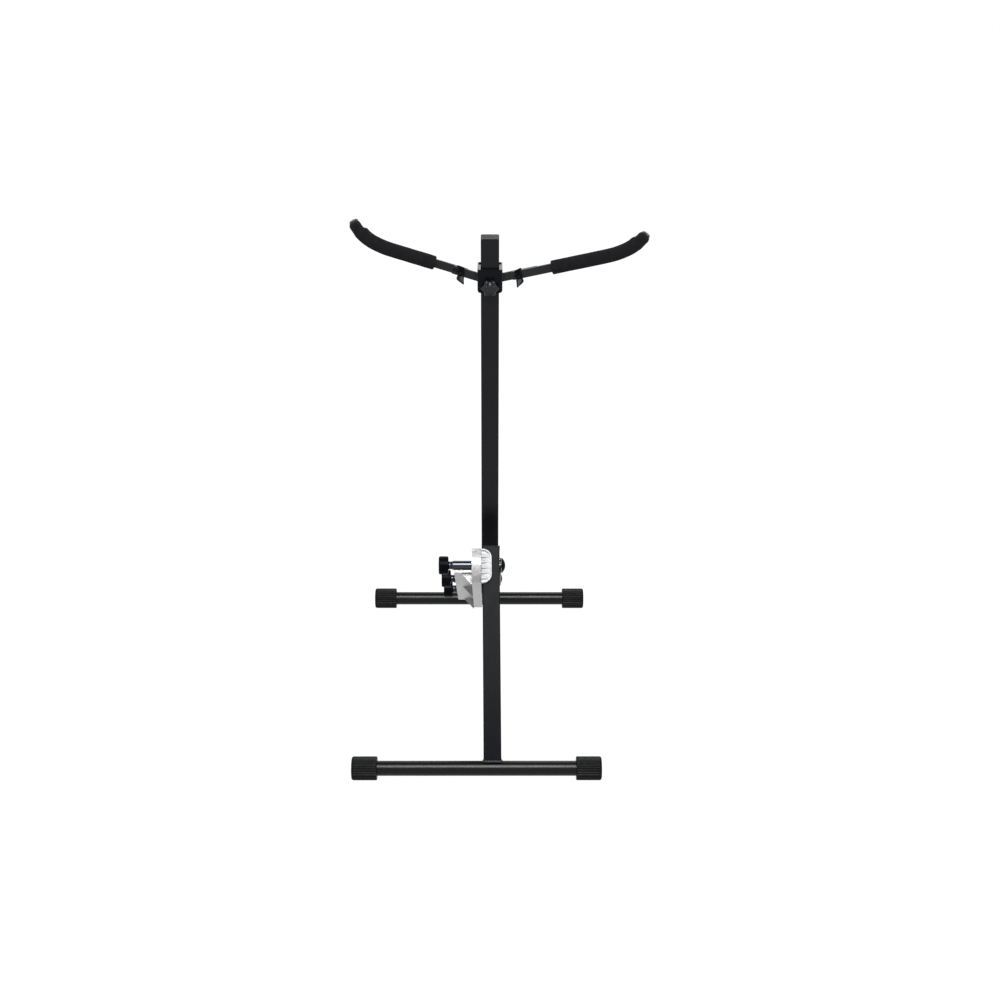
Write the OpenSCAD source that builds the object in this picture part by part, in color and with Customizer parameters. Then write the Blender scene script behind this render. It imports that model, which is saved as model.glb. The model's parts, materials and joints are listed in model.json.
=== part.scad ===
// Saxophone stand: two foot bars, a folding front leg, a fixed rear leg, a post,
// and a sliding yoke with two padded arms. Millimetres, +Z up, floor at Z = 0.

/* [Base] */
// Overall length of each foot bar over its caps
bar_len = 355; // [300:1:400]
// Outside diameter of the foot bars
bar_d = 21.4; // [16:0.2:25]
// Distance between the two foot bars, centre to centre
base_depth = 470.6; // [400:1:520]
// Height of the foot bar centres above the floor
bar_z = 16.5; // [14:0.5:20]
// Side offset of the foot bars from the origin
bar_x = -31.92; // [-40:0.02:0]
// Side offset of the legs and post from the bar centres
leg_offset = 18.5; // [0:0.5:30]
// Outside diameter of the rubber foot caps
cap_d = 33.6; // [28:0.2:38]
// Length of a foot cap
cap_len = 36; // [25:0.5:45]
// Number of grooves round a foot cap
cap_flutes = 28; // [12:1:32]

/* [Legs and post] */
// Side of the square tube
tube = 25.4; // [20:0.2:30]
// Wall of the square tube
tube_wall = 1.5; // [1:0.1:2.5]
// Corner radius of the square tube
tube_r = 1.3; // [1:0.1:4]
// Sideways lean of the front leg towards the right at its foot
front_side_lean = 0.45; // [0:0.05:1]
// Angle of the front leg from vertical
front_lean = 41.8; // [35:0.1:50]
// Length of the front leg from the bar centre to its top end
front_len = 320.5; // [280:0.5:340]
// Depth that the end of a leg sits over its foot bar
leg_seat = 1.1; // [0.5:0.1:3]
// Distance from the bar centre to the folding pivot
pivot_s = 295; // [260:1:320]
// Distance of the post centre line behind the origin
post_y = 40; // [30:0.5:50]
// Height of the bottom of the post
post_bottom = 150; // [120:1:170]
// Height of the top end of the post tube
post_top = 708.6; // [650:0.2:740]

/* [Hinge bracket] */
// Thickness of the cast side plate
plate_t = 13.7; // [8:0.1:16]
// Half height of the cast side plate
plate_h = 25; // [20:0.5:30]
// Width of the flange beside the plate
flange_w = 26; // [15:0.5:35]
// Thickness of the flange and gussets
rib_t = 3; // [2:0.1:5]
// Distance from the pivot to the middle bolt
bolt_b = 128; // [120:1:160]
// Distance from the pivot to the rear leg bolt
bolt_c = 240; // [230:1:280]
// Distance from the pivot to the rear end of the bracket
plate_end = 292; // [270:1:310]
// Diameter of the clamp knobs
knob_d = 27; // [20:0.5:32]
// Diameter of the clamp bolts
bolt_d = 8; // [6:0.5:10]

/* [Yoke] */
// Outside width of the sliding collar
collar_w = 34.7; // [32:0.1:40]
// Height of the bottom of the collar
collar_z = 635.6; // [400:0.2:660]
// Height of the collar
collar_h = 33.6; // [25:0.2:45]
// Height of the arm pivot above the collar bottom
arm_pivot_h = 6; // [4:0.1:20]
// Upward angle of the left arm
left_tilt = 17.45; // [0:0.05:35]
// Upward angle of the right arm
right_tilt = 12.35; // [0:0.05:35]
// Width of the arm strips
strip_w = 12; // [8:0.5:16]
// Thickness of the arm strips
strip_t = 3; // [2:0.1:4]
// Diameter of the foam sleeves
foam_d = 19.8; // [15:0.2:24]

/* [Hidden] */
$fn = 64;
eps = 0.01;
gap = 0.3;
leg_x = bar_x + leg_offset;
base_half = base_depth / 2;
p1_y = pivot_s * sin(front_lean) - base_half;
p1_z = bar_z + pivot_s * cos(front_lean);
rear_drop = atan2(p1_z - bar_z, base_half - p1_y);
rear_len = sqrt(pow(base_half - p1_y, 2) + pow(p1_z - bar_z, 2));
leg_shift = 1.7;
foot_s = bar_d / 2 - leg_seat;
plate_x1 = leg_x - tube / 2 - gap;
plate_x0 = plate_x1 - plate_t;
flange_x0 = plate_x0 - flange_w;
sleeve_end = flange_x0 - 1.5;
knob_x = sleeve_end - 7.3;
knob_t = 14;
hinge_plate_t = 1.8;
hinge_x0 = leg_x + tube / 2 + 2 * gap + leg_shift;
hinge_x1 = hinge_x0 + hinge_plate_t;
pin_r = 3;
pin_s = 12;
pin_off = tube / 2 + pin_r + 0.35;
latch_s0 = 265.5;
latch_len = 50.5;
latch_w = 15;
latch_x0 = -14.2;
star_z = 9.5;
collar_wall_y = post_y + collar_w / 2;
arm_z = collar_z + arm_pivot_h;
layer_1 = collar_wall_y + gap;
layer_2 = layer_1 + strip_t + gap;
layer_end = layer_2 + strip_t;
left_inner = 58;
right_inner = 72.6;
left_bolt_u = 43;
right_bolt_u = 41.5;
left_foam_u = 80.6;
right_foam_u = 88.2;
left_foam_len = 64;
right_foam_len = 79.2;
bend_r1 = 120;
bend_a1 = 13;
left_bend = [62, 36];
right_bend = [72, 28];
rod_d = 7;
joint = 0.4;
wing_bolt_d = 5;

// ---- shared profiles and frames ----

// Rounded square made of exact arcs
module soft_square(w, r) {
  square([w, w - 2 * r], center = true);
  square([w - 2 * r, w], center = true);
  for (x = [-1, 1], y = [-1, 1])
    translate([x * (w / 2 - r), y * (w / 2 - r)]) circle(r);
}

module tube_profile() {
  difference() {
    soft_square(tube, tube_r);
    soft_square(tube - 2 * tube_wall, 0.6);
  }
}

// A cylinder along +X starting at x0
module rod_x(x0, x1, d) {
  translate([x0, 0, 0]) rotate([0, 90, 0]) cylinder(d = d, h = x1 - x0);
}

// A cylinder along +Y starting at y0
module rod_y(y0, y1, d) {
  translate([0, y0, 0]) rotate([-90, 0, 0]) cylinder(d = d, h = y1 - y0);
}

// Front leg frame: +Z runs up the leg from the bar, -Y is its front face
module on_front_leg() {
  translate([leg_x + leg_shift + pivot_s * tan(front_side_lean), -base_half, bar_z])
    rotate([-front_lean, 0, 0]) rotate([0, -front_side_lean, 0]) children();
}

// Rear leg frame: +Y runs down the leg from the pivot, +Z is its upper side
module on_rear_line() {
  translate([0, p1_y, p1_z]) rotate([-rear_drop, 0, 0]) children();
}

// Arm frame: +X runs out along the arm from the shared pivot
module on_left_arm() {
  translate([leg_x, 0, arm_z]) rotate([0, left_tilt, 0]) mirror([1, 0, 0]) children();
}

module on_right_arm() {
  translate([leg_x, 0, arm_z]) rotate([0, -right_tilt, 0]) children();
}

// ---- base ----

module foot_tube() {
  difference() {
    rod_x(-bar_len / 2 + 4, bar_len / 2 - 4, bar_d);
    rod_x(-bar_len / 2 + 3, bar_len / 2 - 3, bar_d - 2 * tube_wall);
  }
}

// Fluted cup over the end of a bar, with a small flat land on the floor
module foot_cap() {
  intersection() {
    difference() {
      rotate([0, 90, 0]) linear_extrude(cap_len) difference() {
        circle(d = cap_d);
        for (i = [0 : cap_flutes - 1])
          rotate(360 / cap_flutes * (i + 0.5)) translate([cap_d / 2 + 0.5, 0]) circle(1.3, $fn = 16);
      }
      rod_x(-eps, cap_len - 3.5, bar_d + 0.1);
    }
    rotate([0, 90, 0]) rotate_extrude() polygon([[0, 0], [cap_d / 2 - 1, 0], [cap_d / 2, 1.5],
      [cap_d / 2, cap_len - 3], [cap_d / 2 - 2, cap_len], [0, cap_len]]);
    translate([0, -cap_d, -bar_z]) cube([cap_len, 2 * cap_d, 2 * cap_d]);
  }
}

module cap_at(y, side) {
  translate([bar_x, y, bar_z]) mirror([side < 0 ? 1 : 0, 0, 0])
    translate([bar_len / 2 - cap_len, 0, 0]) foot_cap();
}

module front_foot_tube() {
  color("#1c1c1d") translate([bar_x, -base_half, bar_z]) foot_tube();
}

module rear_foot_tube() {
  color("#1c1c1d") translate([bar_x, base_half, bar_z]) foot_tube();
}

module front_left_cap() {
  color("#111111") cap_at(-base_half, -1);
}

module front_right_cap() {
  color("#111111") cap_at(-base_half, 1);
}

module rear_left_cap() {
  color("#111111") cap_at(base_half, -1);
}

module rear_right_cap() {
  color("#111111") cap_at(base_half, 1);
}

// ---- legs and post ----

module front_leg() {
  color("#2e3033") difference() {
    on_front_leg() translate([0, 0, foot_s]) linear_extrude(front_len - foot_s) tube_profile();
    translate([0, -base_half, bar_z]) rod_x(leg_x - tube, leg_x + tube, bar_d + 0.04);
    translate([0, p1_y, p1_z]) rod_x(leg_x - tube, leg_x + tube, bolt_d + 0.1);
    on_front_leg() translate([-6.3, -tube, latch_s0 + 6]) cube([6.6, tube, 27]);
  }
}

module front_leg_plug() {
  color("#6a6c6f") on_front_leg() {
    translate([0, 0, front_len]) linear_extrude(1.4) soft_square(tube + 0.8, tube_r);
    translate([0, 0, front_len - 4]) linear_extrude(4) soft_square(tube - 2 * tube_wall - 0.2, 0.5);
  }
}

module rear_leg() {
  color("#1c1c1d") difference() {
    on_rear_line() translate([leg_x, rear_len - foot_s, 0]) rotate([90, 0, 0])
      linear_extrude(rear_len - foot_s - 90) tube_profile();
    translate([0, base_half, bar_z]) rod_x(leg_x - tube, leg_x + tube, bar_d + 0.04);
    translate([leg_x - tube, post_y - 3 * tube, post_bottom - 50])
      cube([2 * tube, 3 * tube + tube / 2 + 0.02, 200]);
    for (a = [bolt_b, bolt_c])
      on_rear_line() translate([0, a, 0]) rod_x(leg_x - tube, leg_x + tube, bolt_d + 0.1);
  }
}

module post() {
  color("#1c1c1d") translate([leg_x, post_y, post_bottom])
    linear_extrude(post_top - post_bottom) tube_profile();
}

module post_top_cap() {
  color("#77797c") translate([leg_x, post_y, 0]) {
    translate([0, 0, post_top]) linear_extrude(1.2) soft_square(tube, tube_r);
    translate([0, 0, post_top + 1.2]) linear_extrude(0.8) soft_square(tube - 2, tube_r);
    translate([0, 0, post_top - 14]) linear_extrude(14)
      soft_square(tube - 2 * tube_wall - 0.2, 0.5);
  }
}

module post_bottom_plug() {
  color("#111111") translate([leg_x, post_y, 0]) {
    translate([0, 0, post_bottom - 2]) linear_extrude(2) soft_square(tube, tube_r);
    translate([0, 0, post_bottom]) linear_extrude(10)
      soft_square(tube - 2 * tube_wall - 0.2, 0.5);
  }
}

// ---- hinge bracket ----

module hole_a(d) {
  rod_x(plate_x0 - 1, plate_x1 + 1, d);
}

// Triangular web under the flange
module gusset(a) {
  translate([plate_x0 + eps, a + rib_t / 2, -8 - rib_t + eps]) rotate([90, 0, 0])
    linear_extrude(rib_t) polygon([[0, 0], [-16, 0], [0, -17.5]]);
}

module hinge_casting() {
  color("#c9cbcc") on_rear_line() difference() {
    union() {
      rod_x(plate_x0, plate_x1, 2 * plate_h);
      translate([plate_x0, 0, -plate_h]) cube([plate_t, plate_end - 12, 2 * plate_h]);
      translate([plate_x0, plate_end - 12 - eps, -plate_h + 12])
        cube([plate_t, 12 + eps, 2 * plate_h - 24]);
      for (z = [-1, 1])
        translate([0, plate_end - 12, z * (plate_h - 12)]) rod_x(plate_x0, plate_x1, 24);
      translate([flange_x0, -4, -8 - rib_t]) cube([flange_w + eps, plate_end, rib_t]);
      for (a = [5, 140, 275]) gusset(a);
    }
    hole_a(bolt_d + 0.1);
    translate([0, bolt_b, 0]) hole_a(bolt_d + 0.1);
    translate([0, bolt_c, 0]) hole_a(bolt_d + 0.1);
    translate([0, p_y(), p_z()]) rod_x(plate_x1 - 6, plate_x1 + 1, 2 * pin_r + 0.04);
  }
}

// Stop pin position in the rear leg frame, from its place beside the front leg
function pin_dy() = (pin_s * sin(front_lean) + pin_off * cos(front_lean));
function pin_dz() = (pin_s * cos(front_lean) - pin_off * sin(front_lean));
function p_y() = pin_dy() * cos(rear_drop) - pin_dz() * sin(rear_drop);
function p_z() = pin_dy() * sin(rear_drop) + pin_dz() * cos(rear_drop);

module hinge_plate() {
  color("#1c1c1d") on_rear_line() difference() {
    union() {
      rod_x(hinge_x0, hinge_x1, 22);
      translate([hinge_x0, 0, -11]) cube([hinge_plate_t, bolt_b, 22]);
      translate([0, bolt_b, 0]) rod_x(hinge_x0, hinge_x1, 22);
    }
    rod_x(hinge_x0 - 1, hinge_x1 + 1, bolt_d + 0.1);
    translate([0, bolt_b, 0]) rod_x(hinge_x0 - 1, hinge_x1 + 1, bolt_d + 0.1);
  }
}

module leg_stop_pin() {
  color("#8b8d90") on_rear_line() translate([0, p_y(), p_z()])
    rod_x(plate_x1 - 5, hinge_x0 - 0.1, 2 * pin_r);
}

module clamp_bolt(x1) {
  rod_x(knob_x - 4, x1, bolt_d);
}

module pivot_bolt() {
  color("#8b8d90") on_rear_line() clamp_bolt(hinge_x1 + 3);
}

module middle_bolt() {
  color("#8b8d90") on_rear_line() translate([0, bolt_b, 0]) clamp_bolt(hinge_x1 + 1.2);
}

module leg_bolt() {
  color("#8b8d90") on_rear_line() translate([0, bolt_c, 0]) clamp_bolt(leg_x + tube / 2);
}

module sleeve() {
  difference() {
    rod_x(sleeve_end, plate_x0, 14);
    rod_x(sleeve_end - 1, plate_x0 + 1, bolt_d + 0.1);
  }
}

module pivot_sleeve() {
  color("#5b5e63") on_rear_line() sleeve();
}

module middle_sleeve() {
  color("#5b5e63") on_rear_line() translate([0, bolt_b, 0]) sleeve();
}

module leg_sleeve() {
  color("#5b5e63") on_rear_line() translate([0, bolt_c, 0]) sleeve();
}

// Round clamp knob with softened rims and a neck towards the sleeve
module clamp_knob() {
  r = knob_d / 2;
  e = 2.5;
  translate([sleeve_end - gap, 0, 0]) rotate([0, -90, 0]) difference() {
    rotate_extrude() {
      square([5.5, knob_t / 2 + 7]);
      translate([0, 7 - gap]) square([r - 1, knob_t]);
      translate([0, 8 - gap]) square([r, knob_t - 1 - e]);
      translate([0, 7 - gap]) square([r - e, knob_t]);
      translate([r - e, 7 - gap + knob_t - e]) circle(e);
    }
    translate([0, 0, -1]) cylinder(d = bolt_d + 0.1, h = 13);
  }
}

module pivot_knob() {
  color("#17181a") on_rear_line() clamp_knob();
}

module middle_knob() {
  color("#17181a") on_rear_line() translate([0, bolt_b, 0]) clamp_knob();
}

module leg_knob() {
  color("#17181a") on_rear_line() translate([0, bolt_c, 0]) clamp_knob();
}

// Shallow domed knob on the right end of the pivot bolt
module pivot_cap_knob() {
  color("#17181a") on_rear_line() translate([hinge_x1 + gap, 0, 0]) rotate([0, 90, 0])
    difference() {
      intersection() {
        cylinder(d = 22, h = 5.6);
        translate([0, 0, -9.4]) sphere(15, $fn = 96);
      }
      translate([0, 0, -1]) cylinder(d = bolt_d + 0.1, h = 4.2);
    }
}

// Low domed nut outside the hinge plate
module middle_dome_nut() {
  color("#2a2b2d") on_rear_line() translate([hinge_x1, bolt_b, 0]) rotate([0, 90, 0])
    difference() {
      intersection() {
        cylinder(d = 13, h = 2.4);
        translate([0, 0, -9.6]) sphere(12);
      }
      translate([0, 0, -1]) cylinder(d = bolt_d + 0.1, h = 2.3);
    }
}

// Ring that fills the gap between the casting and the leaning front leg
module pivot_bush() {
  color("#8b8d90") on_rear_line() difference() {
    rod_x(plate_x1, plate_x1 + leg_shift - 0.4, 15);
    rod_x(plate_x1 - 1, plate_x1 + leg_shift + 1, bolt_d + 0.1);
  }
}

// D-shaped thumb pad on the front face of the front leg
module latch_shape(inset) {
  r = latch_w - 2;
  translate([inset, inset]) square([2.1, latch_len - 2 * inset]);
  translate([inset, r]) square([latch_w - 2 * inset, latch_len - 2 * r]);
  for (y = [r, latch_len - r])
    intersection() {
      translate([2, y]) circle(r - inset);
      translate([inset, 0]) square([latch_w, latch_len]);
    }
}

module latch_pad() {
  color("#e8e9ea") on_front_leg() translate([latch_x0, -tube / 2 - gap, latch_s0]) {
    rotate([90, 0, 0]) {
      linear_extrude(3) latch_shape(0);
      linear_extrude(6) difference() {
        latch_shape(0);
        translate([-eps, 7]) square([2.2, latch_len - 14]);
        latch_shape(2);
      }
      for (i = [0 : 4])
        intersection() {
          linear_extrude(5.6) latch_shape(0.8);
          translate([0, 5.6 + 8 * i, 0]) rotate([90, 0, 90])
            linear_extrude(latch_w) polygon([[0, 2.5], [6.6, 2.5], [6.2, 5.6], [5, 5.6], [0, 3.2]]);
        }
    }
    translate([8.7, -eps, 16]) cube([5, 6, 12]);
    translate([5.7, 2.6, 13]) cube([11, 3, 18]);
  }
}

// ---- yoke ----

module collar() {
  w = collar_w;
  color("#17181a") difference() {
    union() {
      translate([leg_x, post_y, collar_z + 4]) linear_extrude(collar_h - 4) soft_square(w, 2.5);
      intersection() {
        translate([leg_x, post_y, collar_z]) linear_extrude(4.1) soft_square(w, 2.5);
        translate([leg_x, post_y + w / 2, collar_z + 4]) rotate([90, 0, 0])
          linear_extrude(w) union() {
            square([w - 8, 8], center = true);
            for (x = [-1, 1]) translate([x * (w / 2 - 4), 0]) circle(4);
          }
      }
      translate([leg_x, 0, collar_z + star_z]) rod_y(post_y - w / 2 - 2, post_y - w / 2 + 2, 15);
    }
    translate([leg_x, post_y, collar_z - 1]) linear_extrude(collar_h + 2)
      soft_square(tube + 2 * gap, tube_r);
    translate([leg_x, post_y, collar_z + collar_h - 1.6]) linear_extrude(2)
      soft_square(w - 3.4, 1.6);
    translate([leg_x, 0, collar_z + star_z]) rod_y(0, post_y, 6.1);
    translate([leg_x, 0, arm_z]) rod_y(post_y, post_y + tube, 6.1);
  }
}

// Star knob with its clamping screw
module collar_knob() {
  face = post_y - collar_w / 2 - 2 - gap;
  color("#17181a") translate([leg_x, 0, collar_z + star_z]) {
    translate([0, face, 0]) rotate([90, 0, 0]) {
      linear_extrude(9) difference() {
        union() {
          circle(9.2);
          for (i = [0 : 5]) rotate(60 * i + 30) translate([8.4, 0]) circle(3.7);
        }
        for (i = [0 : 5]) rotate(60 * i) translate([12.2, 0]) circle(2.8);
      }
      cylinder(d1 = 15, d2 = 11, h = 11);
    }
    rod_y(face - 1, post_y - tube / 2 - gap, 6);
  }
}

module arm_pivot_bolt() {
  color("#2a2b2d") translate([leg_x, 0, arm_z]) {
    rod_y(post_y + tube / 2 + 2 * gap, layer_end + gap, 6);
    translate([0, layer_end + gap, 0]) rotate([-90, 0, 0]) cylinder(d = 11, h = 3, $fn = 48);
    translate([0, layer_end + gap + 3, 0]) rotate([-90, 0, 0]) cylinder(d1 = 11, d2 = 7, h = 1.5);
  }
}

// Flat strip with round ends, lying in a layer that starts at y0
module strip(u0, u1, y0) {
  r = strip_w / 2;
  translate([0, y0 + strip_t, 0]) rotate([90, 0, 0]) linear_extrude(strip_t) {
    translate([u0 + r, -r]) square([u1 - u0 - 2 * r, strip_w]);
    translate([u0 + r, 0]) circle(r);
    translate([u1 - r, 0]) circle(r);
  }
}

module inner_strip(length, bolt_u, y0) {
  s = wing_bolt_d + 2 * gap;
  difference() {
    strip(-strip_w / 2, length, y0);
    rod_y(y0 - 1, y0 + strip_t + 1, 6.1);
    translate([bolt_u, y0 - 1, -s / 2]) cube([length - bolt_u - 6, strip_t + 2, s]);
    for (u = [bolt_u, length - 6]) translate([u, 0, 0]) rod_y(y0 - 1, y0 + strip_t + 1, s);
  }
}

module left_inner_strip() {
  color("#2a2b2d") on_left_arm() inner_strip(left_inner, left_bolt_u, layer_1);
}

module right_inner_strip() {
  color("#2a2b2d") on_right_arm() inner_strip(right_inner, right_bolt_u, layer_2);
}

// A bent round bar: straight, then two bends, joined by slightly wider bands
module bent_run(len, last, d) {
  rotate([0, 90, 0]) cylinder(d = d, h = len - joint);
  translate([len, 0, 0]) {
    band(d);
    bend(bend_r1, bend_a1, d);
  }
  at_second(len) {
    band(d);
    bend(last[0], last[1], d);
  }
}

module band(d) {
  translate([-1, 0, 0]) rotate([0, 90, 0]) cylinder(d = d + 0.2, h = 2);
}

// Part of a ring that leaves a small gap at each end for the bands to close
module bend(r, a, d) {
  trim = joint / r * 180 / PI;
  translate([0, 0, r]) rotate([90, 0, 0]) rotate([0, 0, trim - 90])
    rotate_extrude(angle = a - 2 * trim) translate([r, 0]) circle(d = d);
}

// Places children where the second bend begins
module at_second(len) {
  translate([len + bend_r1 * sin(bend_a1), 0, bend_r1 * (1 - cos(bend_a1))])
    rotate([0, -bend_a1, 0]) children();
}

// Places children at the tip of a bent run
module at_tip(len, last) {
  at_second(len) translate([last[0] * sin(last[1]), 0, last[0] * (1 - cos(last[1]))])
    rotate([0, -last[1], 0]) children();
}

module arm_bar(u0, foam_u, len, last, y0) {
  mid = y0 + strip_t / 2;
  difference() {
    strip(u0, foam_u + 26, y0);
    translate([u0 + strip_w / 2 + 7, 0, 0]) rod_y(y0 - 1, y0 + strip_t + 1, wing_bolt_d + 0.1);
  }
  translate([foam_u + 14, mid, 0]) bent_run(len - 14, last, rod_d);
  translate([foam_u, mid, 0]) at_tip(len, last) rod_x(-2, 0, rod_d + 0.2);
}

module left_arm_bar() {
  color("#2a2b2d") on_left_arm()
    arm_bar(left_bolt_u - 13, left_foam_u, left_foam_len, left_bend, layer_2);
}

module right_arm_bar() {
  color("#2a2b2d") on_right_arm()
    arm_bar(right_bolt_u - 13, right_foam_u, right_foam_len, right_bend, layer_1);
}

module foam(foam_u, len, last, y0) {
  translate([foam_u, y0 + strip_t / 2, 0]) difference() {
    union() {
      bent_run(len, last, foam_d);
      at_tip(len, last) rod_x(-2, 0, foam_d + 0.2);
    }
    translate([-2, 0, 0]) bent_run(len + 2, last, rod_d + 0.4);
    at_tip(len, last) rod_x(-2.5, 1, rod_d + 0.6);
  }
}

module left_foam() {
  color("#0d0d0e") on_left_arm() foam(left_foam_u, left_foam_len, left_bend, layer_2);
}

module right_foam() {
  color("#0d0d0e") on_right_arm() foam(right_foam_u, right_foam_len, right_bend, layer_1);
}

// Round plug over the end of the rod, bearing on the foam
module tip_cap(foam_u, len, last, y0) {
  translate([foam_u, y0 + strip_t / 2, 0]) at_tip(len, last) rotate([0, 90, 0]) {
    translate([0, 0, 0.05]) cylinder(d = 13, h = 1.6);
    translate([0, 0, 1.65]) cylinder(d1 = 13, d2 = 9, h = 1);
  }
}

module left_tip_cap() {
  color("#3a3b3d") on_left_arm() tip_cap(left_foam_u, left_foam_len, left_bend, layer_2);
}

module right_tip_cap() {
  color("#3a3b3d") on_right_arm() tip_cap(right_foam_u, right_foam_len, right_bend, layer_1);
}

module wing_bolt(bolt_u, head_y) {
  translate([bolt_u, 0, 0]) {
    rod_y(layer_1 - 9, head_y, wing_bolt_d);
    translate([0, head_y, 0]) rotate([-90, 0, 0]) cylinder(d1 = 10, d2 = 7, h = 2.5);
  }
}

module left_wing_bolt() {
  color("#8b8d90") on_left_arm() wing_bolt(left_bolt_u, layer_end);
}

module right_wing_bolt() {
  color("#8b8d90") on_right_arm() wing_bolt(right_bolt_u, layer_end + gap);
}

// Wing nut: a tapered boss with two broad wings swept outwards
module wing_nut() {
  difference() {
    union() {
      rotate([90, 0, 0]) cylinder(d1 = 11, d2 = 8.5, h = 6.5);
      for (turn = [0, 180])
        rotate([0, turn, 0]) rotate([35, 0, 0]) translate([0, -1.2, 0]) rotate([90, 0, 0])
          linear_extrude(2.6)
            polygon([[-3.6, 2.5], [3.6, 2.5], [4.8, 8], [3.4, 13], [0.8, 17.6], [-0.9, 18],
              [-1.6, 16.6], [-4.6, 10]]);
    }
    rod_y(-8, 1, wing_bolt_d + 0.1);
  }
}

module left_wing_nut() {
  color("#232426") on_left_arm() translate([left_bolt_u, layer_1 - gap, 0])
    rotate([0, 40, 0]) wing_nut();
}

module right_wing_nut() {
  color("#232426") on_right_arm() translate([right_bolt_u, layer_1 - gap, 0])
    rotate([0, 26, 0]) mirror([1, 0, 0]) wing_nut();
}

front_foot_tube();
rear_foot_tube();
front_left_cap();
front_right_cap();
rear_left_cap();
rear_right_cap();
front_leg();
front_leg_plug();
rear_leg();
post();
post_top_cap();
post_bottom_plug();
hinge_casting();
hinge_plate();
leg_stop_pin();
pivot_bolt();
middle_bolt();
leg_bolt();
pivot_sleeve();
middle_sleeve();
leg_sleeve();
pivot_knob();
middle_knob();
leg_knob();
pivot_cap_knob();
middle_dome_nut();
pivot_bush();
latch_pad();
collar();
collar_knob();
arm_pivot_bolt();
left_inner_strip();
right_inner_strip();
left_arm_bar();
right_arm_bar();
left_foam();
right_foam();
left_tip_cap();
right_tip_cap();
left_wing_bolt();
right_wing_bolt();
left_wing_nut();
right_wing_nut();
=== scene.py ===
"""Looks for a folding saxophone stand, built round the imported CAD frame. Metres, +Z up."""
import json
import math

import bmesh
import bpy
from mathutils import Matrix, Vector, noise


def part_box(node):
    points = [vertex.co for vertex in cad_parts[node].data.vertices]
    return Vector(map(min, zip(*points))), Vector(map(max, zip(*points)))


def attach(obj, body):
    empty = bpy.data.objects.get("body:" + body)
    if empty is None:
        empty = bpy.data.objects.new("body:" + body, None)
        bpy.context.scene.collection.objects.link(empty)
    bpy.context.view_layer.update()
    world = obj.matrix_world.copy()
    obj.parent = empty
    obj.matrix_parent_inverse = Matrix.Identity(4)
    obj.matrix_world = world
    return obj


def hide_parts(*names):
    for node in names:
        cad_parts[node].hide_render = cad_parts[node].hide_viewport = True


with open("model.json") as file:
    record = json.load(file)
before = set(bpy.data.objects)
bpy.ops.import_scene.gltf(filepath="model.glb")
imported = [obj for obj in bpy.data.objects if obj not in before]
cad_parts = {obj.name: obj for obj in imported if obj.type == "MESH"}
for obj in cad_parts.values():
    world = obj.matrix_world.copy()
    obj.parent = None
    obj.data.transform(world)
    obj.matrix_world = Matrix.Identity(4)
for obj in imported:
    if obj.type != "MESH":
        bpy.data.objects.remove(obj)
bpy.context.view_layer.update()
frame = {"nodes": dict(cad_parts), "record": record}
nodes = frame["nodes"]
record = frame["record"]
JOINT = {j["name"]: j for j in record["behaviour"]["joints"]}
SLOT_OF = {s["node"]: s["material_slot"] for s in record["subparts"]}

# Millimetres and degrees. These repeat values of the CAD source and change with it.
MM = 0.001
FRONT_LEAN = 41.8
SIDE_LEAN = 0.45
PIVOT_UP_LEG = 295.0
LEG_SHIFT = 1.7
PAD_LEFT, PAD_START = -14.2, 265.5
CLEARANCE = 0.3
BAR_R = 10.7
TUBE = 25.4
FOAM_R = 9.9
FIRST_BEND = (120.0, 13.0)
# tilt, start, straight, bend and bolt are the CAD's; nut_turn and head belong to this script.
ARMS = {
    "left": dict(tilt=17.45, start=80.6, straight=64.0, bend=(62.0, 36.0),
                 bolt=43.0, nut_turn=26.0, head=6.6),
    "right": dict(tilt=12.35, start=88.2, straight=79.2, bend=(72.0, 28.0),
                  bolt=41.5, nut_turn=14.0, head=6.9),
}
EASE = 10.0  # length over which a bend of the foam sets in


# ---------------------------------------------------------------- camera
def add_camera():
    pitch, yaw, roll = math.radians(26.958), math.radians(0.367), math.radians(0.202)
    forward = Vector((math.sin(yaw) * math.cos(pitch), math.cos(yaw) * math.cos(pitch), -math.sin(pitch)))
    right = Vector((math.cos(yaw), -math.sin(yaw), 0.0))
    up = right.cross(forward)
    x_axis = right * math.cos(roll) + up * math.sin(roll)
    y_axis = up * math.cos(roll) - right * math.sin(roll)
    data = bpy.data.cameras.new("camera")
    data.sensor_width = 36.0
    data.lens = 52.05
    data.clip_start, data.clip_end = 0.05, 150.0
    cam = bpy.data.objects.new("camera", data)
    bpy.context.scene.collection.objects.link(cam)
    m = Matrix((x_axis, y_axis, -forward)).transposed().to_4x4()
    m.translation = Vector((-0.01075, -1.89565, 1.28909))
    cam.matrix_world = m
    bpy.context.scene.camera = cam


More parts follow.
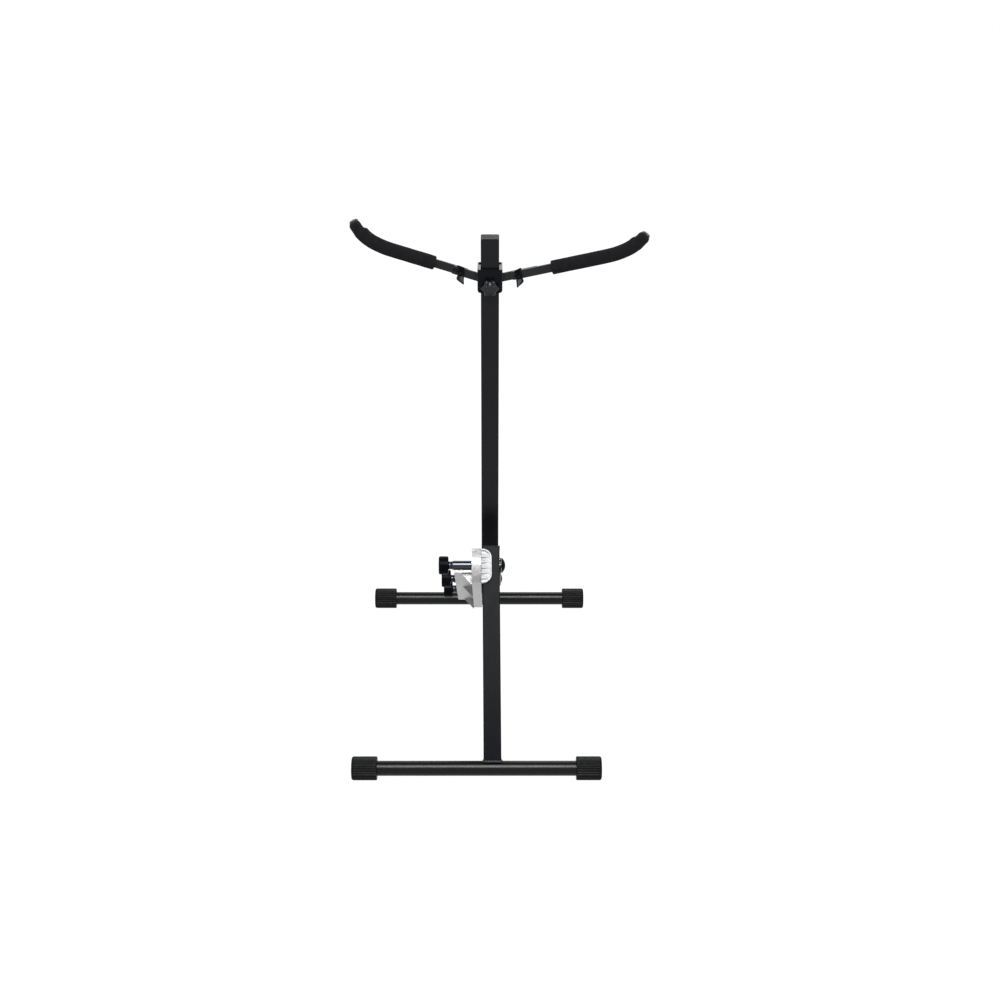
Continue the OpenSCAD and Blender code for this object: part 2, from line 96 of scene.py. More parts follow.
# ---------------------------------------------------------------- materials
class Nodes:
    """A principled material and short calls for building its shader tree."""

    def __init__(self, name, color, rough, metal=0.0, spec=0.5, coat=0.0, coat_rough=0.1):
        self.mat = bpy.data.materials.new(name)
        self.mat.use_nodes = True
        self.mat.diffuse_color = (*color, 1.0)
        self.tree = self.mat.node_tree
        self.tree.nodes.clear()
        self.out = self.tree.nodes.new("ShaderNodeOutputMaterial")
        self.bsdf = self.tree.nodes.new("ShaderNodeBsdfPrincipled")
        self.link(self.bsdf, "BSDF", self.out, "Surface")
        self.set(self.bsdf, "Base Color", (*color, 1.0))
        self.set(self.bsdf, "Roughness", rough)
        self.set(self.bsdf, "Metallic", metal)
        self.set(self.bsdf, "Specular IOR Level", spec)
        self.set(self.bsdf, "Coat Weight", coat)
        self.set(self.bsdf, "Coat Roughness", coat_rough)
        self.coords = self.tree.nodes.new("ShaderNodeTexCoord")

    def set(self, node, socket, value):
        node.inputs[socket].default_value = value

    def link(self, a, out, b, inp):
        self.tree.links.new(a.outputs[out], b.inputs[inp])

    def noise(self, scale, detail=3.0, rough=0.55, stretch=(1, 1, 1)):
        mapping = self.tree.nodes.new("ShaderNodeMapping")
        self.set(mapping, "Scale", stretch)
        self.link(self.coords, "Object", mapping, "Vector")
        n = self.tree.nodes.new("ShaderNodeTexNoise")
        self.set(n, "Scale", scale)
        self.set(n, "Detail", detail)
        self.set(n, "Roughness", rough)
        self.link(mapping, "Vector", n, "Vector")
        return n

    def ramp(self, source, out, stops):
        r = self.tree.nodes.new("ShaderNodeValToRGB")
        el = r.color_ramp.elements
        while len(el) < len(stops):
            el.new(0.5)
        for e, (pos, value) in zip(el, stops):
            e.position = pos
            e.color = (*value, 1.0) if isinstance(value, tuple) else (value, value, value, 1.0)
        self.link(source, out, r, "Fac")
        return r

    def color(self, source, out, stops):
        self.link(self.ramp(source, out, stops), "Color", self.bsdf, "Base Color")

    def rough(self, source, out, stops):
        self.link(self.ramp(source, out, stops), "Color", self.bsdf, "Roughness")

    def bump(self, source, out, strength, distance, below=None):
        b = self.tree.nodes.new("ShaderNodeBump")
        self.set(b, "Strength", strength)
        self.set(b, "Distance", distance)
        self.link(source, out, b, "Height")
        if below is not None:
            self.link(below, "Normal", b, "Normal")
        self.link(b, "Normal", self.bsdf, "Normal")
        return b


def powder_coat(name, low, high, rough=(0.28, 0.34), spec=0.16, grain=0.06):
    """Satin powder coat: fine orange peel, slight shade and gloss drift."""
    m = Nodes(name, low, rough[0], spec=spec)
    m.color(m.noise(9.0, 4.0), "Fac", [(0.3, low), (0.7, high)])
    m.rough(m.noise(45.0, 5.0, 0.6), "Fac", [(0.3, rough[0]), (0.75, rough[1])])
    m.bump(m.noise(900.0, 2.0), "Fac", grain, 0.00012)
    return m.mat


def moulded(name, low, high, rough=(0.25, 0.4), spec=0.5, coat=0.0, grain=0.08, scale=1300.0):
    """Moulded plastic or rubber with a faint spark-eroded grain and handling wear."""
    m = Nodes(name, low, rough[0], spec=spec, coat=coat, coat_rough=0.12)
    broad = m.noise(60.0, 4.0)
    m.color(broad, "Fac", [(0.3, low), (0.75, high)])
    m.rough(broad, "Fac", [(0.3, rough[0]), (0.75, rough[1])])
    m.bump(m.noise(scale, 2.0), "Fac", grain, 0.0001)
    return m.mat


def metal(name, low, high, rough=(0.2, 0.35), grain=0.05, stretch=(1, 1, 1), scale=700.0):
    """Turned or drawn steel with a fine grain."""
    m = Nodes(name, low, rough[0], metal=1.0)
    fine = m.noise(scale, 3.0, 0.6, stretch)
    m.color(fine, "Fac", [(0.3, low), (0.75, high)])
    m.rough(fine, "Fac", [(0.3, rough[0]), (0.75, rough[1])])
    m.bump(fine, "Fac", grain, 0.00005)
    return m.mat


def cast_alloy(name, low, high, rough=(0.38, 0.55), grain=0.35, metallic=0.3):
    """Sand-blasted die casting: speckled shade and a pebbled skin."""
    m = Nodes(name, low, rough[0], metal=metallic)
    m.color(m.noise(560.0, 6.0, 0.75), "Fac", [(0.36, low), (0.6, high)])
    m.rough(m.noise(90.0, 4.0), "Fac", [(0.3, rough[0]), (0.75, rough[1])])
    coarse = m.bump(m.noise(420.0, 3.0), "Fac", grain, 0.00025)
    m.bump(m.noise(1500.0, 2.0), "Fac", grain * 0.7, 0.0001, below=coarse)
    return m.mat


def foam_skin(name):
    """Closed-cell foam: matte, full of fine pores, with soft broad unevenness."""
    m = Nodes(name, (0.006, 0.006, 0.0065), 0.9, spec=0.06)
    cells = m.tree.nodes.new("ShaderNodeTexVoronoi")
    m.set(cells, "Scale", 1500.0)
    m.link(m.coords, "Object", cells, "Vector")
    grey = m.noise(160.0, 5.0, 0.7)
    m.color(grey, "Fac", [(0.3, (0.0018, 0.0018, 0.0023)), (0.75, (0.0058, 0.0058, 0.0066))])
    m.rough(grey, "Fac", [(0.2, 0.82), (0.8, 0.98)])
    pores = m.bump(cells, "Distance", 0.5, 0.00018)
    m.bump(m.noise(260.0, 4.0), "Fac", 0.35, 0.0004, below=pores)
    m.set(m.bsdf, "Sheen Weight", 0.02)
    m.set(m.bsdf, "Sheen Roughness", 0.6)
    return m.mat


def make_materials():
    drawn = dict(stretch=(1, 14, 14))
    return {
        "black_paint": powder_coat("black_paint", (0.0020, 0.0021, 0.0027), (0.0031, 0.0033, 0.0040)),
        # painted light: leg_paint is a bluer, slightly lighter copy of black_paint, standing in for the front
        # leg's upward face catching the overhead light
        "leg_paint": powder_coat("leg_paint", (0.0022, 0.0028, 0.0038), (0.0032, 0.0039, 0.0051),
                                 spec=0.022, grain=0.15),
        "strip_paint": powder_coat("strip_paint", (0.006, 0.0062, 0.0071), (0.0115, 0.012, 0.0133),
                                   (0.3, 0.45), 0.11),
        "cap_rubber": moulded("cap_rubber", (0.0018, 0.0019, 0.0023), (0.0032, 0.0034, 0.0039),
                              (0.34, 0.46), 0.085, grain=0.03),
        "grey_plug": moulded("grey_plug", (0.004, 0.0041, 0.0043), (0.010, 0.0103, 0.0106),
                             (0.45, 0.6), 0.05, grain=0.15),
        "black_plug": moulded("black_plug", (0.006, 0.006, 0.0066), (0.01, 0.01, 0.011), (0.5, 0.65), 0.15),
        "cast_metal": cast_alloy("cast_metal", (0.16, 0.162, 0.161), (0.44, 0.444, 0.44)),
        "pad_metal": cast_alloy("pad_metal", (0.33, 0.335, 0.34), (0.39, 0.395, 0.40),
                                (0.45, 0.55), 0.08, 0.0),
        "bolt_steel": metal("bolt_steel", (0.16, 0.165, 0.17), (0.28, 0.285, 0.29)),
        "dark_steel": metal("dark_steel", (0.03, 0.034, 0.042), (0.055, 0.06, 0.07), (0.2, 0.3), **drawn),
        "knob_plastic": moulded("knob_plastic", (0.0009, 0.0012, 0.0017), (0.0017, 0.0022, 0.003),
                                (0.3, 0.4), 0.02),
        "collar_plastic": moulded("collar_plastic", (0.0016, 0.0018, 0.0025), (0.0028, 0.0031, 0.004),
                                  (0.14, 0.24), 0.06),
        # painted light: the star knob gets a lighter, glossier copy of collar_plastic; the extra gloss is its
        # own, the lighter base colour stands in for the glints on its lobes
        "star_lit_plastic": moulded("star_lit_plastic", (0.003, 0.0032, 0.004), (0.005, 0.0053, 0.0065), (0.1, 0.2), 0.3),
        "black_zinc": moulded("black_zinc", (0.0028, 0.003, 0.0035), (0.006, 0.0063, 0.007),
                              (0.24, 0.36), 0.05),
        # painted highlight: weld beads take a copy of the frame paint with a lighter base colour and much
        # more gloss, so they show as a light sliver at the joints
        "weld_highlight_paint": powder_coat("weld_highlight_paint", (0.004, 0.0045, 0.0055), (0.006, 0.0065, 0.008),
                                  (0.2, 0.3), 0.5),
        "foam": foam_skin("foam"),
        "tip_plastic": moulded("tip_plastic", (0.006, 0.006, 0.0066), (0.011, 0.011, 0.012),
                               (0.2, 0.35), 0.3),
    }


MATS = make_materials()


# ---------------------------------------------------------------- mesh helpers
def skin(name, rings, matrix, loop=False):
    """Closed smooth surface through rings of points in millimetres; loop joins the last ring to the first."""
    bm = bmesh.new()
    rows = [[bm.verts.new(matrix @ (p * MM)) for p in ring] for ring in rings]
    count = len(rows[0])
    pairs = list(zip(rows, rows[1:]))
    if loop:
        pairs.append((rows[-1], rows[0]))
    for a, b in pairs:
        for i in range(count):
            j = (i + 1) % count
            bm.faces.new((a[i], a[j], b[j], b[i]))
    if not loop:
        for ring in (rows[0], rows[-1]):
            centre = bm.verts.new(sum((v.co for v in ring), Vector()) / count)
            for i in range(count):
                bm.faces.new((ring[i], ring[(i + 1) % count], centre))
    bmesh.ops.recalc_face_normals(bm, faces=bm.faces)
    for face in bm.faces:
        face.smooth = True
    mesh = bpy.data.meshes.new(name)
    bm.to_mesh(mesh)
    bm.free()
    obj = bpy.data.objects.new(name, mesh)
    bpy.context.scene.collection.objects.link(obj)
    return obj


def turned(name, profile, matrix, radius=lambda angle, r: r, sides=72, ring=False):
    """Surface turned round +X through (x, radius) pairs; radius() shapes it by angle, ring leaves a bore."""
    rings = []
    for x, r in profile:
        angles = [2 * math.pi * i / sides for i in range(sides)]
        rings.append([Vector((x, radius(a, r) * math.cos(a), radius(a, r) * math.sin(a))) for a in angles])
    return skin(name, rings, matrix, loop=ring)


def rounded(x0, r0, x1, r1, corner, steps=4):
    """Profile points of a quarter-round from (x0, r0) to (x1, r1), bulging towards corner."""
    points = []
    for i in range(steps + 1):
        t = i / steps * math.pi / 2
        points.append((x0 + (x1 - x0) * (math.sin(t) if corner == "x" else 1 - math.cos(t)),
                       r0 + (r1 - r0) * (1 - math.cos(t) if corner == "x" else math.sin(t))))
    return points


def finish_piece(obj, body, slot, *replaced, finish=None):
    """Paints a piece from its slot, lets it ride on its body, and hides the nodes it stands for."""
    obj.data.materials.append(MATS[finish or slot])
    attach(obj, body)
    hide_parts(*replaced)
    return obj


def middle(node):
    low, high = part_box(node)
    return (low + high) / 2


def smoothstep(x):
    x = min(1.0, max(0.0, x))
    return x * x * (3 - 2 * x)


# ---------------------------------------------------------------- arms
def arm_matrix(side):
    """Arm frame: +X runs out along the arm, +Z up, origin on the shared pivot."""
    pivot = Vector(JOINT[side + "_arm_tilt"]["pos_m"])
    base = Matrix.Translation((pivot.x, 0, pivot.z))
    tilt = math.radians(ARMS[side]["tilt"])
    if side == "left":
        return base @ Matrix.Rotation(tilt, 4, "Y") @ Matrix.Scale(-1, 4, (1, 0, 0))
    return base @ Matrix.Rotation(-tilt, 4, "Y")


def foam_path(arm, step=1.0):
    """Centre line in the arm's X-Z plane as (distance, x, z, heading), with eased bends."""
    r1, a1 = FIRST_BEND[0], math.radians(FIRST_BEND[1])
    r2, a2 = arm["bend"][0], math.radians(arm["bend"][1])
    bend_1, bend_2 = arm["straight"], arm["straight"] + r1 * a1
    total = bend_2 + r2 * a2
    count = round(total / step)
    ds = total / count
    x, z, heading = arm["start"], 0.0, 0.0
    path = []
    for i in range(count + 1):
        s = i * ds
        path.append((s, x, z, heading))
        mid = s + ds / 2
        curve = smoothstep((mid - bend_1) / EASE + 0.5) / r1
        curve += smoothstep((mid - bend_2) / EASE + 0.5) * (1 / r2 - 1 / r1)
        turn = heading + curve * ds / 2
        x += math.cos(turn) * ds
        z += math.sin(turn) * ds
        heading += curve * ds
    return path


def foam_ring(s, total, x, z, heading, scale, crease, y, sides=64):
    """One ring of the sleeve, with soft lumps and a buckle on the inside of the bend."""
    ring = []
    for i in range(sides):
        a = 2 * math.pi * i / sides
        inner = max(0.0, math.cos(a)) ** 1.5
        from_crease = s - (total - crease[0])
        pinch = math.exp(-((from_crease / 1.8) ** 2)) + 1.1 * smoothstep(from_crease / 2.5)
        swell = math.exp(-(((from_crease + 4.5) / 4.0) ** 2)) if crease[1] else 0.0
        lump = noise.noise(Vector((s * 0.11, math.cos(a) * 1.3, math.sin(a) * 1.3 + y)))
        fine = noise.noise(Vector((s * 0.55, math.cos(a) * 5.0, math.sin(a) * 5.0 + y)))
        r = scale * (FOAM_R + 0.14 * lump + 0.05 * fine - crease[1] * inner * pinch + 0.5 * inner * swell)
        up = r * math.cos(a)
        ring.append(Vector((x - math.sin(heading) * up, y + r * math.sin(a), z + math.cos(heading) * up)))
    return ring


def foam_sleeve(side):
    """Foam tube pushed over the bar: near-square inner end, well rounded tip, buckled bend on the left."""
    arm = ARMS[side]
    path = foam_path(arm)
    total = path[-1][0]
    low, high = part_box(side + "_foam")
    y = (low.y + high.y) / 2 / MM
    crease = (16.0, 1.8) if side == "left" else (14.0, 0.6)
    rings = []
    dimple = [(1.6, 0.12), (1.4, 0.28), (0.5, 0.5), (0.0, 0.66), (0.0, 0.8)]
    for depth, scale in dimple:
        s, x, z, heading = path[0]
        rings.append(foam_ring(depth, total, x + depth, z, heading, scale, (crease[0], 0.0), y))
    for s, x, z, heading in path[1:]:
        inner_end = 1 - 0.17 * max(0.0, 1 - s / 1.8) ** 2
        left = max(0.0, 1 - (total - s) / 6.0)
        tip_end = 1 - 0.42 * (1 - math.sqrt(max(0.0, 1 - left * left)))
        tip_end -= 0.08 * smoothstep((s - total + crease[0] + 2) / 6)
        rings.append(foam_ring(s, total, x, z, heading, inner_end * tip_end, crease, y))
    s, x, z, heading = path[-1]
    for scale in (0.45, 0.25, 0.1):
        rings.append(foam_ring(s, total, x, z, heading, scale, (crease[0], 0.0), y))
    obj = skin(side + "_foam_sleeve", rings, arm_matrix(side))
    finish_piece(obj, side + "_arm", "foam", side + "_foam")


def wing_nut(side):
    """Cast wing nut: tapered boss and two swept wings, fused and softened."""
    arm = ARMS[side]
    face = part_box("left_inner_strip")[0].y / MM - CLEARANCE
    place = (arm_matrix(side) @ Matrix.Translation(Vector((arm["bolt"], face, 0)) * MM)
             @ Matrix.Rotation(math.radians(arm["nut_turn"]), 4, "Y"))
    to_boss = place @ Matrix.Rotation(math.radians(-90), 4, "Z")
    boss = [(0, 2.95), (0, 5.2)] + rounded(0.3, 5.5, 5.6, 4.7, "r", 3)
    boss += rounded(5.6, 4.7, 6.5, 3.9, "x", 3) + [(6.5, 2.95)]
    parts = [turned(side + "_wing_nut_cast", boss, to_boss, sides=48, ring=True)]
    for turn in (0, math.pi):
        tilt = Matrix.Rotation(math.radians(35), 3, "X")
        rings = []
        for i in range(19):
            t = 0.1 + 0.9 * i / 18
            z = 2.2 + 17.3 * t
            width = 3.6 + 1.9 * smoothstep(t / 0.35) - 4.2 * smoothstep((t - 0.4) / 0.6)
            thick = 1.35 - 0.35 * t
            close = math.sqrt(max(0.04, 1 - max(0.0, (t - 0.86) / 0.14) ** 2))
            shift = -1.7 * math.sin(math.pi * min(1.0, 1.1 * t)) + 1.6 * smoothstep((t - 0.4) / 0.6)
            bow = -2.5 + 1.6 * math.sin(math.pi * t) * 0.5
            ring = []
            for k in range(20):
                a = 2 * math.pi * k / 20
                across, deep = width * close * math.cos(a), thick * close * math.sin(a)
                point = tilt @ Vector((shift + across, bow + deep, z))
                push = max(1.0, 4.2 / math.hypot(point.x, point.z))  # the root keeps clear of the bore
                ring.append(Vector((point.x * push, point.y, point.z * push)))
            rings.append(ring)
        parts.append(skin(side + "_wing", rings, place @ Matrix.Rotation(turn, 4, "Y")))
    obj = parts[0]
    joined = bmesh.new()
    for part in parts:
        joined.from_mesh(part.data)
    joined.to_mesh(obj.data)
    joined.free()
    for part in parts[1:]:
        bpy.data.objects.remove(part, do_unlink=True)
    remesh = obj.modifiers.new("fuse", "REMESH")
    remesh.mode = "VOXEL"
    remesh.voxel_size = 0.00035
    remesh.use_smooth_shade = True
    soften = obj.modifiers.new("soften", "SMOOTH")
    soften.factor = 0.5
    soften.iterations = 5
    finish_piece(obj, side + "_wing", "black_zinc", side + "_wing_nut")


def wing_bolt(side):
    """Screw of the wing nut: ridged like a thread but without a helix, with a low round head."""
    arm = ARMS[side]
    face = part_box("left_inner_strip")[0].y / MM - CLEARANCE
    place = (arm_matrix(side) @ Matrix.Translation(Vector((arm["bolt"], face, 0)) * MM)
             @ Matrix.Rotation(math.radians(-90), 4, "Z"))
    pitch, tip = 0.8, 8.7
    turns = round((tip + arm["head"]) / pitch) - 1
    profile = [(-arm["head"] - 2.5, 1.0), (-arm["head"] - 2.5, 3.1),
               (-arm["head"] - 2.1, 3.8), (-arm["head"], 5.0),
               (-arm["head"], 2.5)]
    for i in range(turns):
        x = -arm["head"] + pitch * (i + 0.6)
        profile += [(x, 2.5), (x + 0.1, 2.5), (x + 0.4, 2.12), (x + 0.5, 2.12)]
    profile += [(tip - 0.5, 2.3), (tip, 1.7), (tip, 0.6)]
    screw = turned(side + "_wing_screw", profile, place, sides=36)
    finish_piece(screw, side + "_arm", "black_zinc", side + "_wing_bolt")


# ---------------------------------------------------------------- foot caps
def foot_cap(node, body, side):
    """Fluted rubber cup; the grooves run out through both rounded ends, with a flat land on the floor."""
    low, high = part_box(node)
    flutes, radius, depth, reach = 28, 16.8, 1.15, 1.2
    length = (high.x - low.x) / MM
    axis_z = middle("front_foot_tube").z
    inner_x = low.x if side > 0 else high.x
    place = Matrix.Translation((inner_x, (low.y + high.y) / 2, axis_z)) @ Matrix.Scale(side, 4, (1, 0, 0))
    tall = axis_z / MM

    def fluted(angle, r):
        pitch = 2 * math.pi / flutes
        across = ((angle / pitch) % 1.0 - 0.5) * pitch * radius
        cut = 0.0
        if abs(across) < reach:
            cut = depth * (1 - (across / reach) ** 2)
        fade = smoothstep((r - 13.0) / 1.6)
        r = r - cut * fade
        down = -math.sin(angle)
        return min(r, tall / down) if down > 0.2 else r

    profile = [(length - 4, 3.0), (length - 4, 11.0), (0.4, 11.0), (0.0, 11.4), (0.0, 14.2)]
    profile += rounded(0.0, 15.6, 1.2, radius, "r")
    profile += [(6, radius), (14, radius), (24, radius), (length - 4, radius)]
    profile += rounded(length - 3.2, radius, length, radius - 2.6, "x", 6)
    profile += [(length, 13.4), (length, 12.2), (length - 0.5, 11.6)]
    profile += [(length - 0.6, 6.0), (length - 0.6, 1.0)]
    obj = turned(node + "_fluted", profile, place, fluted, sides=flutes * 10)
    finish_piece(obj, body, "cap_rubber", node)


# ---------------------------------------------------------------- latch pad
def front_leg_matrix():
    """Front leg frame: +Z runs up the leg from the bar, -Y is its front face."""
    foot = middle("front_foot_tube")
    side_lean = math.radians(SIDE_LEAN)
    foot_x = JOINT["front_leg_fold"]["pos_m"][0] + (LEG_SHIFT + PIVOT_UP_LEG * math.tan(side_lean)) * MM
    turn = Matrix.Rotation(math.radians(-FRONT_LEAN), 4, "X") @ Matrix.Rotation(-side_lean, 4, "Y")
    return Matrix.Translation((foot_x, foot.y, foot.z)) @ turn


def latch_pad():
    """D-shaped cast thumb pad: raised rim open on the left, and five ribs with steep lower faces."""
    width, length, round_r, base, top = 15.0, 50.5, 13.0, 2.2, 6.0
    rows, columns = 202, 34

    def reach(v):
        end = min(v, length - v)
        return width if end >= round_r else 2 + math.sqrt(max(0.0, round_r ** 2 - (round_r - end) ** 2))

    def height(u, v):
        end = min(v, length - v)
        corner = round_r - math.hypot(max(0.0, u - 2), round_r - end) if end < round_r else round_r
        edge = min(width - u, corner)
        rise = base
        for i in range(5):
            t = (v - 5.6 - 8 * i) / 7.2
            if 0 <= t <= 1:
                crest = smoothstep(t / 0.07) * (1 - smoothstep((t - 0.12) / 0.88))
                rise = base + 3.7 * crest * (1 - 0.85 * smoothstep((u - 2.0) / 10.5))
        rise = max(rise, base + (top - base) * smoothstep((2.3 - edge) / 0.5))
        return rise - 0.5 * (1 - smoothstep(edge / 0.5))

    bm = bmesh.new()
    place = front_leg_matrix() @ Matrix.Translation(Vector((PAD_LEFT, -TUBE / 2 - CLEARANCE, PAD_START)) * MM)
    upper, lower = [], []
    for i in range(rows + 1):
        v = 0.02 + (length - 0.04) * i / rows
        line = [(reach(v) * j / columns, v) for j in range(columns + 1)]
        upper.append([bm.verts.new(place @ (Vector((u, -height(u, v), v)) * MM)) for u, v in line])
        lower.append([bm.verts.new(place @ (Vector((u, 0, v)) * MM)) for u, v in line])
    for sheet in (upper, lower):
        for a, b in zip(sheet, sheet[1:]):
            for j in range(columns):
                bm.faces.new((a[j], a[j + 1], b[j + 1], b[j]))
    rim = ([(0, j) for j in range(columns)] + [(i, columns) for i in range(rows)]
           + [(rows, j) for j in range(columns, 0, -1)] + [(i, 0) for i in range(rows, 0, -1)])
    for (i, j), (k, m) in zip(rim, rim[1:] + rim[:1]):
        bm.faces.new((upper[i][j], lower[i][j], lower[k][m], upper[k][m]))
    bmesh.ops.recalc_face_normals(bm, faces=bm.faces)
    mesh = bpy.data.meshes.new("latch_pad_ribbed")
    bm.to_mesh(mesh)
    bm.free()
    obj = bpy.data.objects.new("latch_pad_ribbed", mesh)
    bpy.context.scene.collection.objects.link(obj)
    finish_piece(obj, "latch", "pad_metal", "latch_pad")


# ---------------------------------------------------------------- knobs
def knob_ferrule(name, body):
    """Polished ferrule over the neck of a clamp knob, with a thin collar at its mouth."""
    node = name + "_knob"
    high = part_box(node)[1]
    centre = middle(node)
    place = Matrix.Translation((high.x, centre.y, centre.z))
    profile = [(-6.7, 5.3), (-6.7, 5.7), (-6.5, 5.85), (-2.2, 5.85), (-2.0, 5.6), (-1.7, 5.6), (-1.5, 6.3),
               (-1.3, 6.5), (-0.2, 6.5), (0.0, 6.3), (0.0, 4.25), (-1.0, 4.2)]
    obj = turned(name + "_ferrule", profile, place, sides=64, ring=True)
    finish_piece(obj, body, "dark_steel")


def star_knob():
    """Six-lobed thumb knob with a rolled rim and a raised hub."""
    hub_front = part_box("collar_knob")[0].y
    centre = middle("collar_knob")
    place = Matrix.Translation((centre.x, hub_front, centre.z)) @ Matrix.Rotation(math.radians(90), 4, "Z")

    def lobed(angle, r):
        strength = smoothstep((r - 7.2) / 3.0)
        return r + strength * (1.32 * math.cos(6 * angle) + 0.18 * math.cos(12 * angle))

    profile = [(0.5, 1.2), (0.45, 2.6), (0.0, 3.6)] + rounded(0.0, 4.9, 1.2, 6.0, "r")
    profile += [(2.0, 6.9), (2.3, 7.4)]
    profile += [(2.1, 8.2)] + rounded(2.0, 8.8, 4.2, 10.7, "r", 6) + [(6, 10.75), (9, 10.75)]
    profile += rounded(9.6, 10.7, 11.0, 9.4, "x") + [(11.0, 7.0), (11.0, 2.95), (14.0, 2.95), (14.0, 1.0)]
    obj = turned("collar_star_knob", profile, place, lobed, sides=144)
    # finished in the lighter copy of the collar plastic, whose lighter base colour is painted glint
    finish_piece(obj, "collar_knob_body", "collar_plastic", "collar_knob", finish="star_lit_plastic")


# ---------------------------------------------------------------- welds
def bead(name, body, slot, path, matrix, size=1.5, pitch=1.9, closed=True):
    """Rippled weld bead swept along a path in millimetres."""
    count = len(path)
    rings, run = [], 0.0
    for i, point in enumerate(path):
        after = path[(i + 1) % count] if closed or i + 1 < count else point
        before = path[i - 1] if closed or i else point
        along = (after - before).normalized()
        side = along.cross(Vector((0.31, 0.52, 0.8))).normalized()
        up = side.cross(along)
        run += (point - before).length if i else 0.0
        wave = 1 + 0.13 * math.sin(2 * math.pi * run / pitch) + 0.12 * noise.noise(point * 0.35)
        r = size * wave
        if not closed:
            r *= math.sqrt(max(0.02, 1 - (2 * i / (count - 1) - 1) ** 8))
        rings.append([point + r * (math.cos(a) * side + math.sin(a) * up)
                      for a in (2 * math.pi * k / 14 for k in range(14))])
    # the bead takes the lighter weld paint, a painted highlight, not the plain frame paint
    finish_piece(skin(name, rings, matrix, loop=closed), body, slot, finish="weld_highlight_paint")


def square_path(half, corner, step, height):
    """Points round a soft square outline, each lifted to height(y)."""
    points = []
    flat = half - corner
    runs = max(2, round(2 * flat / step))
    for quarter in range(4):
        turn = Matrix.Rotation(quarter * math.pi / 2, 3, "Z")
        flats = [Vector((half, -flat + 2 * flat * i / runs, 0)) for i in range(runs)]
        arcs = [Vector((flat + corner * math.cos(t), flat + corner * math.sin(t), 0))
                for t in (math.pi / 2 * i / 4 for i in range(4))]
        points += [turn @ p for p in flats + arcs]
    return [Vector((p.x, p.y * 0.92, height(p.y * 0.92))) for p in points]


def weld_at_bar(name, body, slot, bar, direction, matrix_x):
    """Bead where a leg saddles its foot bar; direction is the leg's unit vector away from the bar."""
    x_axis = Vector((1, 0, 0))
    y_axis = direction.cross(x_axis).normalized()
    turn = Matrix((x_axis, y_axis, direction)).transposed().to_4x4()
    centre = middle(bar)
    place = Matrix.Translation((matrix_x, centre.y, centre.z)) @ turn
    path = square_path(TUBE / 2 - 0.3, 1.6, 0.45, lambda y: max(8.7, math.sqrt(max(0.0, BAR_R ** 2 - y * y))))
    bead(name, body, slot, path, place, size=1.9)


def add_welds():
    pivot = Vector(JOINT["front_leg_fold"]["pos_m"])
    rear = middle("rear_foot_tube")
    lean = math.radians(FRONT_LEAN)
    foot_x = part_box("front_leg")[1].x - TUBE / 2 * MM
    weld_at_bar("front_leg_weld", "front_frame", "leg_paint", "front_foot_tube",
                Vector((0, math.sin(lean), math.cos(lean))), foot_x)
    up_rear = Vector((0, pivot.y - rear.y, pivot.z - rear.z)).normalized()
    weld_at_bar("rear_leg_weld", "stand_frame", "black_paint", "rear_foot_tube",
                up_rear, middle("rear_leg").x)
    post_low, post_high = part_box("post")
    drop = math.atan2(pivot.z - rear.z, rear.y - pivot.y)
    seam_y = post_high.y + 0.0002
    seam_z = pivot.z - (seam_y - pivot.y) * math.tan(drop)
    half_z = TUBE / 2 / math.cos(drop)
    low = (post_low.z - seam_z) / MM + 1.5
    side = TUBE / 2 - 0.4
    outline = [Vector((-side, 0, low + (half_z - low) * i / 40)) for i in range(40)]
    outline += [Vector((-side + 2 * side * i / 50, 0, half_z)) for i in range(51)]
    outline += [Vector((side, 0, half_z - (half_z - low) * i / 40)) for i in range(1, 41)]
    bead("post_weld", "stand_frame", "black_paint", outline,
         Matrix.Translation((middle("post").x, seam_y, seam_z)), closed=False)


# ---------------------------------------------------------------- CAD nodes
def dress(name):
    """Gives a CAD node the material of its slot."""
    obj = nodes[name]
    obj.data.materials.clear()
    obj.data.materials.append(MATS[SLOT_OF[name]])


# ---------------------------------------------------------------- stage
def softbox(name, place, target, size, power):
    light = bpy.data.lights.new(name, "AREA")
    light.shape = "RECTANGLE"
    light.size, light.size_y = size
    light.energy = power
    obj = bpy.data.objects.new(name, light)
    obj.location = place
    obj.rotation_euler = (Vector(target) - Vector(place)).to_track_quat("-Z", "Y").to_euler()
    bpy.context.scene.collection.objects.link(obj)


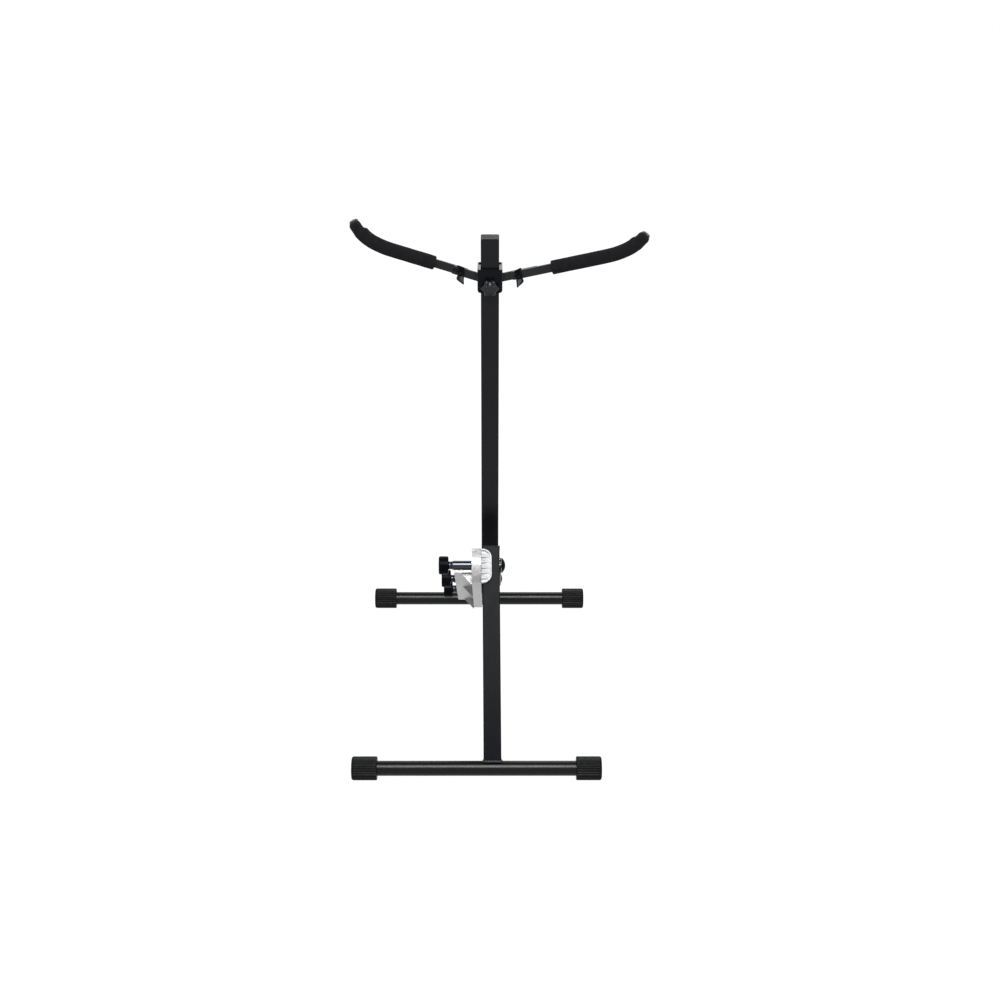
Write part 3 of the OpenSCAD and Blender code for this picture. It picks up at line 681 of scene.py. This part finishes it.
def add_stage():
    """Self-lit white floor, a surround that darkens upwards, one strong softbox and three weak fills."""
    mesh = bpy.data.meshes.new("floor")
    half = 60.0
    corners = [(-half, -half, 0), (half, -half, 0), (half, half, 0), (-half, half, 0)]
    mesh.from_pydata(corners, [], [(0, 1, 2, 3)])
    floor = bpy.data.objects.new("floor", mesh)
    floor.location.z = -0.0004
    bpy.context.scene.collection.objects.link(floor)
    m = Nodes("floor_white", (0.05, 0.05, 0.05), 0.95, spec=0.0)
    m.set(m.bsdf, "Emission Color", (1, 1, 1, 1))
    m.set(m.bsdf, "Emission Strength", 1.0)
    mesh.materials.append(m.mat)

    world = bpy.data.worlds.new("studio")
    world.use_nodes = True
    tree = world.node_tree
    bg = tree.nodes["Background"]
    bg.inputs["Strength"].default_value = 1.0
    direction = tree.nodes.new("ShaderNodeTexCoord")
    split = tree.nodes.new("ShaderNodeSeparateXYZ")
    sky = tree.nodes.new("ShaderNodeValToRGB")
    sky.color_ramp.interpolation = "EASE"
    low, high = sky.color_ramp.elements
    low.position, low.color = 0.3, (1, 1, 1, 1)
    high.position, high.color = 0.62, (0.26, 0.26, 0.26, 1)
    tree.links.new(direction.outputs["Generated"], split.inputs["Vector"])
    tree.links.new(split.outputs["Z"], sky.inputs["Fac"])
    tree.links.new(sky.outputs["Color"], bg.inputs["Color"])
    bpy.context.scene.world = world
    softbox("strip", (0.0, -1.28, 2.4), (0, 0.0, 0.1), (1.0, 1.25), 108.0)
    for name, x, y in (("fill_left", -2.2, 0.5), ("fill_right", 2.2, 0.5), ("fill_back", 0.3, 2.3)):
        softbox(name, (x, y, 1.5), (0, 0, 0.3), (1.4, 1.2), 16.0)
    view = bpy.context.scene.view_settings
    view.view_transform = "Standard"
    view.look = "None"
    view.exposure = 0.0


add_camera()
for name in nodes:
    dress(name)
for side in ARMS:
    foam_sleeve(side)
    wing_nut(side)
    wing_bolt(side)
for end, body in (("front", "front_frame"), ("rear", "stand_frame")):
    foot_cap(end + "_left_cap", body, -1)
    foot_cap(end + "_right_cap", body, 1)
for name in ("pivot", "middle", "leg"):
    knob_ferrule(name, name + "_knob_body")
latch_pad()
star_knob()
add_welds()
add_stage()
